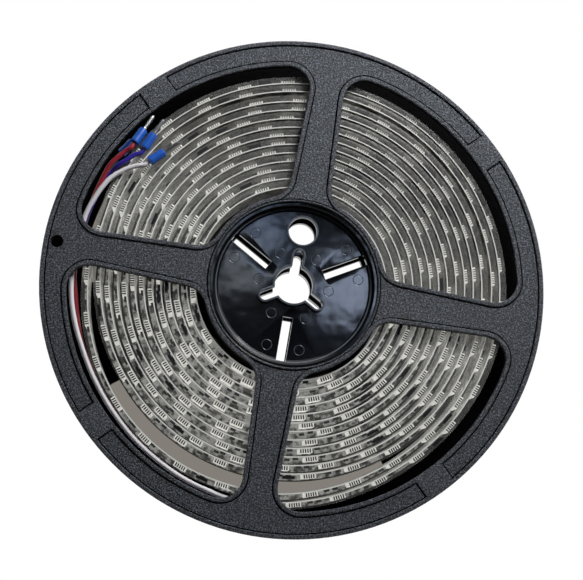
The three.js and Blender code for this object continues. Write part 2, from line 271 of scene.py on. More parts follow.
# %% [markdown]
# Every lead ends in a ferrule: a blue nylon sleeve, belled where the wire goes in, and a tinned
# barrel that a crimping tool has pressed flat in steps. A scaled cylinder would do for both, but a
# profile spun about the ferrule's line gives the bell, and the crimps are flats pressed into the pin.

# %% Ferrules
SLEEVE = [(0, 0.5), (1.0, 0.4), (1.7, 0.32), (1.83, 0.4), (1.85, 0.6), (1.84, 1.4), (1.74, 2.6),
          (1.7, 3.4), (1.7, 6.2), (1.62, 6.65), (1.35, 6.86), (0, 6.9)]
PIN = [(0, 7.2), (0.78, 7.2)] + [
    (0.78 - 0.16 * (k % 2), 7.6 + 0.5 * k) for k in range(12)] + [(0.6, 13.6), (0, 13.8)]

collar_blue = new_material("nylon_blue_moulded", "#1557b8", 0.38)[0]
tinned = new_material("copper_tinned_crimped", "#8b8d90", 0.38, Metallic=1.0)[0]


def ferrule_part(name, profile, steps, start, along):
    """A spun piece that starts at the wire's end and points along it."""
    piece = spun(name, profile, steps, 0.005)
    turn = Vector((0, 0, 1)).rotation_difference(along).to_matrix().to_4x4()
    piece.data.transform(Matrix.Translation(start) @ turn)
    bpy.ops.object.shade_smooth_by_angle(angle=math.radians(35))
    return piece


def ferrule(name, start, along):
    sleeve = ferrule_part("sleeve_" + name, SLEEVE, 32, start, along)
    pin = ferrule_part("crimped_pin_" + name, PIN, 8, start, along)
    ready(sleeve, collar_blue)
    ready(pin, tinned)
    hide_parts("collar_" + name)
    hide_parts("pin_" + name)
    return sleeve, pin


# %% Wires
LEAD_HEX = {"white": "#e9e6ea", "red": "#9c2433", "blue": "#33279a", "green": "#2c6b3f"}
for name, (route, tip) in LEADS.items():
    points = lead_points(route, tip)
    wire = lead_curve("wire_" + name, points)
    sleeve, pin = ferrule(name, points[-1], (polar(*tip) - points[-1]).normalized())
    ready(wire, new_material("pvc_insulation_" + name, LEAD_HEX[name], 0.42)[0])
    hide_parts("lead_" + name)


# %% [markdown]
# The reel is two ABS mouldings that meet inside the hub. A half could be drawn as one outline and
# extruded, but its hub is a turned cup and its flange a plate with openings. So it is made as a
# toolmaker would: the plate and cup are spun from one profile, the windows and the sunken panels are
# cut out with shaped cutters, and the edges are rounded last, when every cut is there.

# %% Sizes of a reel half, in millimetres and degrees
REEL_R = 95
REEL_T = 18
FLANGE_T = 2.2
LIP_W = 1.7
BEAD_W = 1.75
TAB_W = 12
HUB_R = 33.9
HUB_WALL = 2.4
MOUTH_R = 31.5
MOUTH_RIM = 0.95
STEP_W = 0.9
STEP_DROP = 1.15
FLOOR_DROP = 3.6
FLOOR_R = 28.5
FLOOR_T = 1.6
PANEL_DROP = 0.5
CREASE_DROP = 1.0
CREASE_W = 0.45
FACE_ROUND = 0.45
PANEL_ROUND = 0.12
SLOT_ROUND = 0.22
RIM_ROUND = 0.18
SEAM = 0.3
WINDOW_IN_R = 34.3
FRONT_SHAPE = {"spokes": [80, 170, 260, 350], "tabs": [35, 125, 215, 305],
               "half_in": 8.1, "half_out": 6.2, "out_r": 85, "corner": 8.5}
BACK_SPOKES = [72.7, 192.7, 312.7]
BACK_TABS = [12.7, 132.7, 252.7]
FLIP_ANGLE = 80  # the back half is turned over about this line, so both hubs line up
BACK_SHAPE = {"spokes": [2 * FLIP_ANGLE - a for a in reversed(BACK_SPOKES)],
              "tabs": [2 * FLIP_ANGLE - a for a in reversed(BACK_TABS)],
              "half_in": 9.4, "half_out": 21.7, "out_r": 81, "corner": 3.5}
TOP = REEL_T
FLOOR_Z = TOP - FLOOR_DROP
PAST = 1.0  # how far a cutter reaches past the face that it cuts


# %% Cutters: closed prisms from an outline
def prism(name, outline, z0, z1):
    """A closed prism: the outline is one face, and extrude gives it its height."""
    mesh = bpy.data.meshes.new(name)
    piece = linked(name, mesh)
    built = bmesh.new()
    built.faces.new([built.verts.new(Vector((x, y, z0)) * MM) for x, y in outline])
    bmesh.ops.recalc_face_normals(built, faces=built.faces)
    built.to_mesh(mesh)
    built.free()
    pick(piece)
    bpy.ops.object.mode_set(mode="EDIT")
    bpy.ops.mesh.select_all(action="SELECT")
    bpy.ops.mesh.extrude_region_move(TRANSFORM_OT_translate={"value": (0, 0, (z1 - z0) * MM)})
    bpy.ops.object.mode_set(mode="OBJECT")
    return outward(piece)


def disc(name, centre, radius, z0, z1, sides=128):
    """A closed cylinder, centred at (x, y)."""
    deselect()
    bpy.ops.mesh.primitive_cylinder_add(
        vertices=sides, radius=radius * MM, depth=(z1 - z0) * MM,
        location=(centre[0] * MM, centre[1] * MM, (z0 + z1) / 2 * MM))
    return rename(name)


def bar(name, angle, r0, r1, width, z0, z1):
    """A closed block along the ray at angle, from radius r0 to r1."""
    along = polar(angle, 1000)
    across = polar(angle + 90, 500 * width)
    corners = [(r0, -1), (r1, -1), (r1, 1), (r0, 1)]
    outline = [(along * r + across * side).to_2d() for r, side in corners]
    return prism(name, outline, z0, z1)


def combine(piece, tool, operation):
    """Cuts the tool out of the piece, or joins it on, and removes the tool."""
    apply(piece, "BOOLEAN", object=tool, operation=operation, solver="MANIFOLD")
    bpy.data.objects.remove(tool, do_unlink=True)
    return piece


# %% Window outlines with rounded corners
def arc(centre, start, end, count):
    """Points of the short arc from start to end round centre."""
    a0 = math.atan2(start[1] - centre[1], start[0] - centre[0])
    a1 = math.atan2(end[1] - centre[1], end[0] - centre[0])
    turn = (a1 - a0 + math.pi) % math.tau - math.pi
    radius = math.hypot(start[0] - centre[0], start[1] - centre[1])
    return [(centre[0] + radius * math.cos(a0 + turn * i / count),
             centre[1] + radius * math.sin(a0 + turn * i / count)) for i in range(count + 1)]


def window_corner(spoke, side, half_in, half_out, out_r, rim_r, inner, corner):
    """Centre and ends of the arc that touches a spoke's side and a rim."""
    along = polar(spoke, 1000)
    across = polar(spoke + 90, 1000) * side
    p = along * WINDOW_IN_R + across * half_in
    q = along * out_r + across * half_out
    u = (q - p).normalized()
    n = Vector((-u.y, u.x, 0)) * side
    b = p + n * corner
    target = rim_r + corner if inner else rim_r - corner
    half = b.dot(u)
    centre = b + u * (-half + math.sqrt(half * half - b.length_squared + target * target))
    return centre, centre - n * corner, centre.normalized() * rim_r


def window_outline(shape, spoke_a, spoke_b, grow):
    """The window between two spokes, grown outwards by grow for its bead."""
    in_r = WINDOW_IN_R - min(grow, WINDOW_IN_R - MOUTH_R - MOUTH_RIM)
    rim_r = shape["out_r"] + grow
    sizes = (shape["half_in"] - grow, shape["half_out"] - grow, shape["out_r"])
    corner = shape["corner"] + grow
    in_a = window_corner(spoke_a, 1, *sizes, in_r, True, corner)
    out_a = window_corner(spoke_a, 1, *sizes, rim_r, False, corner)
    out_b = window_corner(spoke_b, -1, *sizes, rim_r, False, corner)
    in_b = window_corner(spoke_b, -1, *sizes, in_r, True, corner)
    middle = (0, 0)
    return (arc(in_a[0], in_a[2], in_a[1], 10) + arc(out_a[0], out_a[1], out_a[2], 12)
            + arc(middle, out_a[2], out_b[2], 36)[1:-1] + arc(out_b[0], out_b[2], out_b[1], 12)
            + arc(in_b[0], in_b[1], in_b[2], 10) + arc(middle, in_b[2], in_a[2], 20)[1:-1])


def window_outlines(shape, grow):
    spokes = shape["spokes"]
    return [window_outline(shape, a, b, grow) for a, b in zip(spokes, spokes[1:] + spokes[:1])]


# %% The spun blank and the panels
def spun_blank(name):
    """Flange plate and hub cup in one: a profile spun round the axis."""
    wall_in = HUB_R - HUB_WALL
    ledge = TOP - STEP_DROP
    seam = REEL_T / 2 + SEAM / 2
    under = TOP - FLANGE_T
    return spun(name, [
        (0, FLOOR_Z), (FLOOR_R, FLOOR_Z), (MOUTH_R - STEP_W, ledge - STEP_DROP),
        (MOUTH_R - STEP_W, ledge), (MOUTH_R, ledge), (MOUTH_R, TOP), (REEL_R, TOP),
        (REEL_R, under), (HUB_R, under), (HUB_R, seam), (wall_in, seam),
        (wall_in, FLOOR_Z - FLOOR_T), (0, FLOOR_Z - FLOOR_T),
    ], 144, 0.01)


def panels(shape, shrink, z0, z1):
    """The sunken panels between the rim's lip, the windows' beads, the tabs and the hub."""
    plate = disc("panels", (0, 0), REEL_R - LIP_W - shrink, z0, z1, 144)
    core = disc("core", (0, 0), MOUTH_R + MOUTH_RIM + shrink, z0 - PAST, z1 + PAST, 144)
    combine(plate, core, "DIFFERENCE")
    for outline in window_outlines(shape, BEAD_W + shrink):
        combine(plate, prism("window", outline, z0 - PAST, z1 + PAST), "DIFFERENCE")
    for angle in shape["tabs"]:
        tab = bar("tab", angle, shape["out_r"], REEL_R, TAB_W + 2 * shrink, z0 - PAST, z1 + PAST)
        combine(plate, tab, "DIFFERENCE")
    return plate


# %% Rounding the edges
def at_height(p, z):
    """Whether a point in millimetres lies at this height."""
    return abs(p.z - z) < 0.01


def round_edges(piece, width, segments, chosen):
    """Bevels the sharp edges whose two ends pass the test, in millimetres."""
    pick(piece)
    bpy.ops.object.mode_set(mode="EDIT")
    bpy.ops.mesh.select_all(action="SELECT")
    bpy.ops.mesh.remove_doubles(threshold=0.004 * MM)
    bpy.ops.mesh.dissolve_limited(angle_limit=math.radians(0.4))
    bpy.ops.mesh.select_all(action="DESELECT")
    bpy.ops.mesh.select_mode(type="EDGE")
    built = bmesh.from_edit_mesh(piece.data)
    count = 0
    for edge in built.edges:
        sharp = len(edge.link_faces) == 2 and edge.calc_face_angle(0) > math.radians(35)
        if sharp and all(chosen(v.co / MM) for v in edge.verts):
            edge.select_set(True)
            count += 1
    bmesh.update_edit_mesh(piece.data)
    bpy.ops.mesh.bevel(offset=width * MM, segments=segments, affect="EDGES", clamp_overlap=True)
    bpy.ops.object.mode_set(mode="OBJECT")
    print("%s: %d edges rounded" % (piece.name, count))
    return piece


# %% The hub's floor: keyed spindle hole, drive pin hole and slots
KEY_R = 7.2
KEY_REACH = 11.65
KEY_HALF = 1.85
KEY_RIM = 0.75
KEY_RIM_H = 1.8
KEY_ANGLES = [80, 200, 320]
PORT_ANGLE = 80
PORT_AT = 21.3
PORT_R = 5.4
PORT_RIM = 0.6
PORT_RIM_H = 0.6
SLOT_W = 3.7
SLOT_IN = 12.3
SLOT_OUT = 29.2
SLOT_LIP = 2
SLOT_ANGLES = [20, 140, 260]
SLOT_NEAR = 12  # degrees to each side of a slot that still count as beside it
MARKS = ((14.5, 24.7), (-14.5, 24.7), (29, 13.4), (-29, 13.4))  # degrees from a slot, and radius
MARK_R = 1.9
MARK_LINE = 0.16


def key_prism(grow, z0, z1):
    """The round spindle hole with its three notches."""
    key = disc("key", (0, 0), KEY_R + grow, z0, z1, 64)
    for angle in KEY_ANGLES:
        width = 2 * (KEY_HALF + grow)
        combine(key, bar("notch", angle, KEY_HALF, KEY_REACH, width, z0, z1), "UNION")
        end = polar(angle, KEY_REACH * 1000)
        combine(key, disc("lobe", end, KEY_HALF + grow, z0, z1, 32), "UNION")
    return key


def ejector_marks(body):
    """Rings that the mould's ejector pins leave in the floor, two by each side of a slot."""
    for slot in SLOT_ANGLES:
        for angle, r in MARKS:
            deselect()
            bpy.ops.mesh.primitive_torus_add(
                location=polar(slot + angle, r, FLOOR_Z), major_segments=28, minor_segments=8,
                major_radius=MARK_R * MM, minor_radius=MARK_LINE * MM)
            combine(body, rename("mark"), "DIFFERENCE")


def by_slot(p):
    """Whether a point in millimetres lies at one of the floor's slots."""
    angle = math.degrees(math.atan2(p.y, p.x))
    return p.to_2d().length > SLOT_IN - 0.3 and any(
        abs((angle - slot + 180) % 360 - 180) < SLOT_NEAR for slot in SLOT_ANGLES)


def hub_floor(body):
    """Raises the rims on the cup's floor and cuts the spindle hole, the port and the slots."""
    port = polar(PORT_ANGLE, PORT_AT * 1000)
    low = FLOOR_Z - FLOOR_T
    combine(body, key_prism(KEY_RIM, low, FLOOR_Z + KEY_RIM_H), "UNION")
    rim = disc("rim", port, PORT_R + PORT_RIM, low, FLOOR_Z + PORT_RIM_H, 48)
    combine(body, rim, "UNION")
    combine(body, key_prism(0, low - PAST, TOP), "DIFFERENCE")
    combine(body, disc("port", port, PORT_R, low - PAST, TOP, 48), "DIFFERENCE")
    for angle in SLOT_ANGLES:
        slot = bar("slot", angle, SLOT_IN, SLOT_OUT, SLOT_W, low - PAST, FLOOR_Z + SLOT_LIP)
        combine(body, slot, "DIFFERENCE")


# %% One whole half, its face up
PIN_HOLE = (170, 90, 2.4)  # degrees, radius and the hole's own radius; in the front flange only


def reel_half(name, shape):
    """One moulding. Its face is rounded before the panels' creases split it into many edges."""
    body = spun_blank(name)
    hub_floor(body)
    for outline in window_outlines(shape, 0):
        cutter = prism("window", outline, TOP - FLANGE_T - PAST, TOP + PAST)
        combine(body, cutter, "DIFFERENCE")
    combine(body, panels(shape, 0, TOP - CREASE_DROP, TOP + PAST), "DIFFERENCE")
    round_edges(body, FACE_ROUND, 4, lambda p: at_height(p, TOP))
    islands = panels(shape, CREASE_W, TOP - FLANGE_T / 2 - CREASE_DROP / 2, TOP - PANEL_DROP)
    round_edges(islands, PANEL_ROUND, 1, lambda p: at_height(p, TOP - PANEL_DROP))
    combine(body, islands, "UNION")
    if shape is FRONT_SHAPE:
        angle, r, radius = PIN_HOLE
        hole = disc("hole", polar(angle, r * 1000), radius, TOP - FLANGE_T - PAST, TOP + PAST, 40)
        combine(body, hole, "DIFFERENCE")
    round_edges(body, SLOT_ROUND, 2, lambda p: at_height(p, FLOOR_Z) and by_slot(p))
    ejector_marks(body)
    round_edges(body, RIM_ROUND, 2, lambda p: at_height(p, FLOOR_Z + KEY_RIM_H)
                or at_height(p, FLOOR_Z + PORT_RIM_H)
                or (at_height(p, TOP - FLANGE_T) and p.to_2d().length > HUB_R + 0.2))
    pick(body)
    bpy.ops.object.shade_smooth_by_angle(angle=math.radians(26))
    print("%s: %d faces" % (name, len(body.data.polygons)))
    return body


# %% Both halves
deselect()
reel_front = reel_half("reel_front", FRONT_SHAPE)
reel_back = reel_half("reel_back", BACK_SHAPE)
flip = Matrix.Rotation(math.pi, 4, polar(FLIP_ANGLE, 1000))
reel_back.data.transform(Matrix.Translation((0, 0, REEL_T * MM)) @ flip)


# %% [markdown]
# The strip is a flexible circuit with a light every sixth of ten centimetres, under a clear soft
# coating, wound some thirteen turns. Its path is read off the frame's solid, whose corners give the
# outer radius every few degrees, so the look winds exactly as the solid does. One cut unit of three
# lights is modelled flat, repeated in a row by an array, and the row is then wound up.

# %% The winding, read from the frame
STRIP_T = 2.85
STRIP_W = 12
STRIP_Z = 2.5
STEP = 11.25  # degrees between two stations of the frame's strip
U_START = 264  # the angle of its outer end


def turn_radii():
    """Outer radius of the strip at every station, from its outer end inwards."""
    top = (STRIP_Z + STRIP_W) * MM
    by_angle = {}
    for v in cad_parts["led_strip"].data.vertices:
        if v.co.z > top - 0.1 * MM:
            angle = math.degrees(math.atan2(v.co.y, v.co.x)) % 360
            by_angle.setdefault(round(angle / STEP, 1) % 32, set()).add(
                round(v.co.to_2d().length / MM, 3))
    lists = {key: sorted(radii, reverse=True)[::2] for key, radii in by_angle.items()}
    keys = sorted(lists)
    first = min(keys, key=lambda k: abs(k - round(U_START / STEP, 1) % 32))
    order = keys[keys.index(first):] + keys[:keys.index(first)]
    total = sum(len(radii) for radii in lists.values())
    return [lists[order[i % len(order)]][i // len(order)] for i in range(total)]


RADII = turn_radii()
print("strip stations:", len(RADII), "outer", RADII[0], "inner", RADII[-1])


def outer_radius(u):
    """Smooth radius in millimetres at an angle counted from the outer end."""
    x = min(max(u / STEP, 0), len(RADII) - 1.001)
    i = int(x)
    t = x - i
    a, b, c, d = (RADII[min(max(k, 0), len(RADII) - 1)] for k in (i - 1, i, i + 1, i + 2))
    return 0.5 * (2 * b + (c - a) * t + (2 * a - 5 * b + 4 * c - d) * t * t
                  + (3 * b - a - 3 * c + d) * t ** 3)


# %% Arc length along the winding
FINE = 1.5  # degrees between the points that the length is summed over
INNER_U = (len(RADII) - 1) * STEP


def winding():
    """Length along the strip's inner face at every FINE degrees, in millimetres."""
    lengths = [0.0]
    before = None
    for k in range(int(INNER_U / FINE) + 1):
        p = polar(k * FINE, outer_radius(k * FINE) - STRIP_T)
        if before is not None:
            lengths.append(lengths[-1] + (p - before).length / MM)
        before = p
    return lengths


LENGTHS = winding()
STRIP_LENGTH = LENGTHS[-1]
print("strip length: %.0f mm" % STRIP_LENGTH)


def angle_at(length):
    """Angle from the outer end at which the strip has run this many millimetres."""
    low, high = 0, len(LENGTHS) - 1
    while high - low > 1:
        middle = (low + high) // 2
        if LENGTHS[middle] <= length:
            low = middle
        else:
            high = middle
    step = LENGTHS[high] - LENGTHS[low]
    return (low + (length - LENGTHS[low]) / step) * FINE


def wind_up(piece):
    """Moves a flat strip piece onto the roll. x runs along it, y out from its back, z across."""
    cache = {}
    for v in piece.data.vertices:
        x, y, z = v.co / MM
        key = round(x, 3)
        if key not in cache:
            u = angle_at(min(max(x, 0), STRIP_LENGTH - 0.01))
            ahead, behind = min(u + 1, INNER_U), max(u - 1, 0)
            foot = polar(U_START + u, outer_radius(u) - STRIP_T)
            run = (polar(U_START + ahead, outer_radius(ahead) - STRIP_T)
                   - polar(U_START + behind, outer_radius(behind) - STRIP_T)).normalized()
            cache[key] = foot, Vector((run.y, -run.x, 0))
        foot, out = cache[key]
        v.co = foot + out * y * MM + Vector((0, 0, (z + STRIP_Z) * MM))
    return outward(piece)


# %% Flat boxes and bands
def box(name, x0, x1, y0, y1, z0, z1):
    """A closed box between two corners, in millimetres."""
    deselect()
    bpy.ops.mesh.primitive_cube_add(
        size=1, location=Vector((x0 + x1, y0 + y1, z0 + z1)) * MM / 2,
        scale=Vector((x1 - x0, y1 - y0, z1 - z0)) * MM)
    return rename(name)


def weld(name, pieces):
    """Joins objects into one."""
    deselect()
    for piece in pieces:
        piece.select_set(True)
    bpy.context.view_layer.objects.active = pieces[0]
    if len(pieces) > 1:
        bpy.ops.object.join()
    pieces[0].name = name
    pieces[0].data.name = name
    return pieces[0]


def band(name, profile, step, finishes):
    """A ribbon of the whole strip's length: a closed (y, z) profile extruded step by step.
    finishes gives the material's number for some of the profile's sides, counted from 0."""
    count = int(STRIP_LENGTH / step)
    mesh = bpy.data.meshes.new(name)
    built = bmesh.new()
    rings = [[built.verts.new(Vector((STRIP_LENGTH * i / count, y, z)) * MM) for y, z in profile]
             for i in range(count + 1)]
    sides = len(profile)
    for a, b in zip(rings, rings[1:]):
        for k in range(sides):
            face = built.faces.new((a[k], a[(k + 1) % sides], b[(k + 1) % sides], b[k]))
            face.material_index = finishes.get(k, 0)
    built.faces.new(rings[0])
    built.faces.new(rings[-1])
    bmesh.ops.recalc_face_normals(built, faces=built.faces)
    built.to_mesh(mesh)
    built.free()
    return linked(name, mesh)


# %% [markdown]
# The ribbon itself has two layers. The circuit is white on the side of the lights and at its edges,
# and has dull adhesive tape on its back, so a turn looks bright from one side and dark from the other.
# The clear coating lies outside it, with rounded outer edges. It is a thin shell of mixed transparent
# and glossy shader: a refracting solid would hide the parts in it at this size.

# %% Circuit and coating
UNIT = 50.0  # one cut unit along the strip
LED_PITCH = UNIT / 3
LED_SIZE = 5.0
LED_H = 1.6
LED_DEEP = 7.6  # across the strip, as the coating's refraction makes it look
LENS_RIM = 0.7
LENS_DEPTH = 0.3
PIN_PITCH = 0.87
PIN_GAP = 0.24
BOARD_T = 0.45
BAND_STEP = 2.6
GEL = [(0.5, 0.12), (2.35, 0), (2.72, 0.16), (2.85, 0.55),
       (2.85, 11.45), (2.72, 11.84), (2.35, 12), (0.5, 11.88)]


def finish_band(piece):
    wind_up(piece)
    bpy.ops.object.shade_smooth_by_angle(angle=math.radians(50))
    return piece


circuit = finish_band(band("circuit_ribbon", [
    (0, 0), (BOARD_T, 0), (BOARD_T, STRIP_W), (0, STRIP_W)], BAND_STEP, {3: 1}))
coating = finish_band(band("clear_coating", GEL, BAND_STEP, {0: 1, 1: 2, 2: 2}))


# %% [markdown]
# One cut unit has three square lights, and between them resistors and a longer black driver chip.
# Its parts are flat boxes laid on the circuit, x along the strip. Round LED lenses face outwards.

# %% The parts of one cut unit
def light(x):
    """A square white package with a sunken round window on the side that shines."""
    low = (STRIP_W - LED_DEEP) / 2
    half = LED_SIZE / 2
    body = box("light", x - half, x + half, BOARD_T, BOARD_T + LED_H, low, low + LED_DEEP)
    bpy.ops.object.mode_set(mode="EDIT")
    bpy.ops.mesh.select_all(action="DESELECT")
    built = bmesh.from_edit_mesh(body.data)
    for face in built.faces:
        face.select_set(face.normal.y > 0.5)
    bmesh.update_edit_mesh(body.data)
    bpy.ops.mesh.inset(thickness=LENS_RIM * MM, depth=0)
    bpy.ops.mesh.inset(thickness=0.1 * MM, depth=-LENS_DEPTH * MM)
    bpy.ops.object.mode_set(mode="OBJECT")
    return body


def lead_gaps(x):
    """Boxes in the slots between the leads, on the two sides of a light, which carry painted shade."""
    made = []
    low = (STRIP_W - LED_DEEP) / 2 - 0.05
    for k in range(5):
        at = x + (k - 2) * PIN_PITCH
        for z in (low, STRIP_W - low):
            made.append(box("gap", at - PIN_GAP, at + PIN_GAP, BOARD_T + 0.05, BOARD_T + LED_H - 0.1,
                            z - 0.09, z + 0.09))
    return made


def in_a_row(name, pieces, start=0.0, every=1):
    """Repeats a unit along the whole strip and winds it up."""
    unit = weld(name, pieces)
    count = int((STRIP_LENGTH - start - UNIT * every / 2) // (UNIT * every))
    apply(unit, "ARRAY", count=count, use_relative_offset=False, use_constant_offset=True,
          constant_offset_displace=(UNIT * every * MM, 0, 0))
    unit.data.transform(Matrix.Translation((start * MM, 0, 0)))
    return wind_up(unit)


places = [LED_PITCH * (k + 0.5) for k in range(3)]
lights = in_a_row("light_packages", [light(x) for x in places])
gaps = in_a_row("lead_gaps", [piece for x in places for piece in lead_gaps(x)])
resistors = in_a_row("resistors", [
    box("resistor", x - 1.0, x + 1.0, BOARD_T, BOARD_T + 0.9, z, z + 1.3)
    for x, z in ((LED_PITCH - 2.6, 10.2), (LED_PITCH + 0.6, 9.9), (2 * LED_PITCH, 1.2),
                 (2 * LED_PITCH + 2.4, 10.1), (3 * LED_PITCH - 4.2, 10.2))])
chips = in_a_row("driver_chips", [
    box("chip", LED_PITCH * 2 - 2.2, LED_PITCH * 2 + 2.2, 0.9, 2.0, 8, STRIP_W + 0.05)],
    start=34, every=2)
pads = in_a_row("cut_pads", [
    box("pad", -1.6, 1.6, BOARD_T - 0.02, BOARD_T + 0.12, z, z + 1.7) for z in (0.9, 3.7, 6.6, 9.4)],
    start=UNIT)


# %% [markdown]
# The outer end is sealed with a cap of white silicone over the four solder joints. It is a bent
# block: a box cut into slices, bent along given arcs, and softened by a bevel. A smaller one
# covers the joint between two lengths of strip, one turn further in.

# %% Sealed end and splice
CAP = {"name": "sealed_end", "r": 85.5, "t": 3.1, "start": 263.6, "span": 7.4, "z": (3.2, 13.8)}
SPLICE = {"name": "splice", "r": 81.9, "t": 1.5, "start": 254, "span": 5.5, "z": (11.5, 14.7)}


def sealed(place):
    """A block of sealant with soft edges. Its x runs from 0 to 1 along the arc that it is bent to."""
    body = box(place["name"], 0, 1, 0, place["t"], *place["z"])
    bpy.ops.object.mode_set(mode="EDIT")
    bpy.ops.mesh.select_all(action="SELECT")
    bpy.ops.mesh.bevel(offset=0.5 * MM, segments=3, affect="EDGES")
    bpy.ops.mesh.select_all(action="SELECT")
    bpy.ops.mesh.subdivide(number_cuts=1)
    bpy.ops.object.mode_set(mode="OBJECT")
    for v in body.data.vertices:
        x, y, z = v.co / MM
        v.co = polar(place["start"] - place["span"] * x, place["r"] - place["t"] + y, z)
    outward(body)
    bpy.ops.object.shade_smooth_by_angle(angle=math.radians(40))
    return body


cap = sealed(CAP)
splice = sealed(SPLICE)


# %% [markdown]
# The reel is one plastic with two skins. The flanges came from a grained mould, the hub's cup from a
# polished one, so roughness and grain follow the distance from the axis. The grain is a fine noise in
# the bump input, in object space, so it stays the same size everywhere. The polished rims catch light
# along their tops, which is painted by height as pale highlights. Faces inside the reel get little of
# the room's light, so they are painted near black, as shade, and are duller than the outer ones; the
# creases and the windows' walls get this painted shade as well.

# %% Patterns for the finishes
def maths(tree, operation, a, b=0.0):
    """The output of one Math node. Each input is a number or another node's output."""
    made = node(tree, "ShaderNodeMath", {"operation": operation})
    for socket, value in zip(made.inputs, (a, b)):
        if isinstance(value, float):
            socket.default_value = value
        else:
            tree.links.new(value, socket)
    return made.outputs[0]


def object_place(tree):
    """The point on the piece, in metres from the reel's foot."""
    return node(tree, "ShaderNodeTexCoord").outputs["Object"]


def away_from_axis(tree, place):
    """How far that point is from the reel's axis, in metres."""
    flat = node(tree, "ShaderNodeVectorMath", {"operation": "MULTIPLY"}, in0=place)
    flat.inputs[1].default_value = (1, 1, 0)
    away = node(tree, "ShaderNodeVectorMath", {"operation": "LENGTH"}, in0=flat.outputs[0])
    return away.outputs["Value"]


def step_at(tree, value, low, high):
    """0 below low and 1 above high."""
    ramp = node(tree, "ShaderNodeMapRange", {"From Min": low, "From Max": high}, Value=value)
    return ramp.outputs[0]


def ranged(tree, share, low, high):
    """A number that goes from low to high as the share goes from 0 to 1."""
    return node(tree, "ShaderNodeMapRange", {"To Min": low, "To Max": high}, Value=share).outputs[0]


def blend(tree, share, a, b):
    """A colour from a to b by a share. Each is a hex value or another node's output."""
    made = node(tree, "ShaderNodeMixRGB", Fac=share)
    for key, value in (("Color1", a), ("Color2", b)):
        if isinstance(value, str):
            made.inputs[key].default_value = linear(value)
        else:
            tree.links.new(value, made.inputs[key])
    return made.outputs[0]


def noise(tree, place, scale, low, high):
    """Fine random patches between 0 and 1."""
    made = node(tree, "ShaderNodeTexNoise", {"Scale": scale, "Detail": 3.0}, Vector=place)
    return step_at(tree, made.outputs[0], low, high)


def mix_shaders(tree, share, first, second):
    """Puts a mix of two shaders on the material's output."""
    mix = node(tree, "ShaderNodeMixShader", in0=share, in1=first.outputs[0], in2=second.outputs[0])
    tree.links.new(mix.outputs[0], tree.nodes["Material Output"].inputs[0])


# %% Reel plastic
# Painted highlights: the height bands in which the hub's rims and edges are painted pale.
PAINTED_EDGE_GLINTS = (  # heights in millimetres, from and to
    (FLOOR_Z - 0.4, FLOOR_Z - 0.03),  # the slots' edges
    (FLOOR_Z + 0.4, FLOOR_Z + 0.7),  # the port's rim
    (FLOOR_Z + 1.5, FLOOR_Z + 1.9),  # the spindle hole's rim
    (TOP - STEP_DROP - 0.2, TOP - STEP_DROP - 0.05))  # the ledge in the hub's mouth
EDGE_BLUR = 0.02
GRAIN = {"Scale": 1550, "Detail": 3.0, "Roughness": 0.8}
RIPPLE = {"Scale": 80, "Detail": 2.0}
RIPPLE_SHARE = 0.3
BUMP = {"Strength": 1.0, "Distance": 0.0005}


def reel_plastic():
    material, tree, surface = new_material("abs_black_moulded", "#1b1c22", 0.45)
    place = object_place(tree)
    away = away_from_axis(tree, place)
    grained = step_at(tree, away, (MOUTH_R + 0.1) * MM, (MOUTH_R + 0.5) * MM)
    grain = node(tree, "ShaderNodeTexNoise", GRAIN, Vector=place).outputs[0]
    ripple = node(tree, "ShaderNodeTexNoise", RIPPLE, Vector=place).outputs[0]
    relief = node(tree, "ShaderNodeMapRange", Value=grained,
                  **{"To Min": maths(tree, "MULTIPLY", ripple, RIPPLE_SHARE), "To Max": grain})
    bump = node(tree, "ShaderNodeBump", BUMP, Height=relief.outputs[0])
    tree.links.new(bump.outputs[0], surface.inputs["Normal"])
    tree.links.new(ranged(tree, grained, 0.1, 0.42), surface.inputs["Roughness"])

    height = node(tree, "ShaderNodeSeparateXYZ", Vector=place).outputs["Z"]
    # Painted highlight: the hub's colour is pale in each of those height bands.
    edges = 0.0
    for low, high in PAINTED_EDGE_GLINTS:
        above = step_at(tree, height, low * MM, (low + EDGE_BLUR) * MM)
        below = step_at(tree, height, (high + EDGE_BLUR) * MM, high * MM)
        edges = maths(tree, "MAXIMUM", edges, maths(tree, "MULTIPLY", above, below))
    polished_with_glints = blend(tree, edges, "#0d0f13", "#545a62")
    skin = blend(tree, step_at(tree, grain, 0.48, 0.66), "#010102", "#747d8c")

    # Painted shade: faces deeper than the panels' tops (the inner faces, the creases and the windows'
    # walls) are painted near black; the hub and the rim are left out.
    from_middle = maths(tree, "ABSOLUTE", maths(tree, "SUBTRACT", height, REEL_T / 2 * MM))
    panel = REEL_T / 2 - PANEL_DROP
    on_face = step_at(tree, from_middle, (panel - 0.25) * MM, (panel - 0.08) * MM)
    in_hub = step_at(tree, away, (MOUTH_R + 0.5) * MM, MOUTH_R * MM)
    on_rim = step_at(tree, away, (REEL_R - 0.7) * MM, (REEL_R - 0.4) * MM)
    outer = maths(tree, "MAXIMUM", on_face, maths(tree, "MAXIMUM", in_hub, on_rim))
    colour = blend(tree, outer, "#020203", blend(tree, grained, polished_with_glints, skin))
    tree.links.new(colour, surface.inputs["Base Color"])
    tree.links.new(ranged(tree, outer, 0.02, 0.5), surface.inputs["Specular IOR Level"])
    return material


abs_black = reel_plastic()
for piece, node_name in ((reel_front, "front_half"), (reel_back, "back_half")):
    ready(piece, abs_black)
    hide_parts(node_name)


# %% [markdown]
# In the picture the near side of the roll shows the lights' white faces, and the far side the dull
# tape between the turns, both more than this camera's small lean gives. So the strip's finishes get
# paler towards the near side. Light that scatters in a clear coating can't come from a thin shell, so
# the white parts are given a painted glow instead, a little light of their own, stronger on the near
# side.

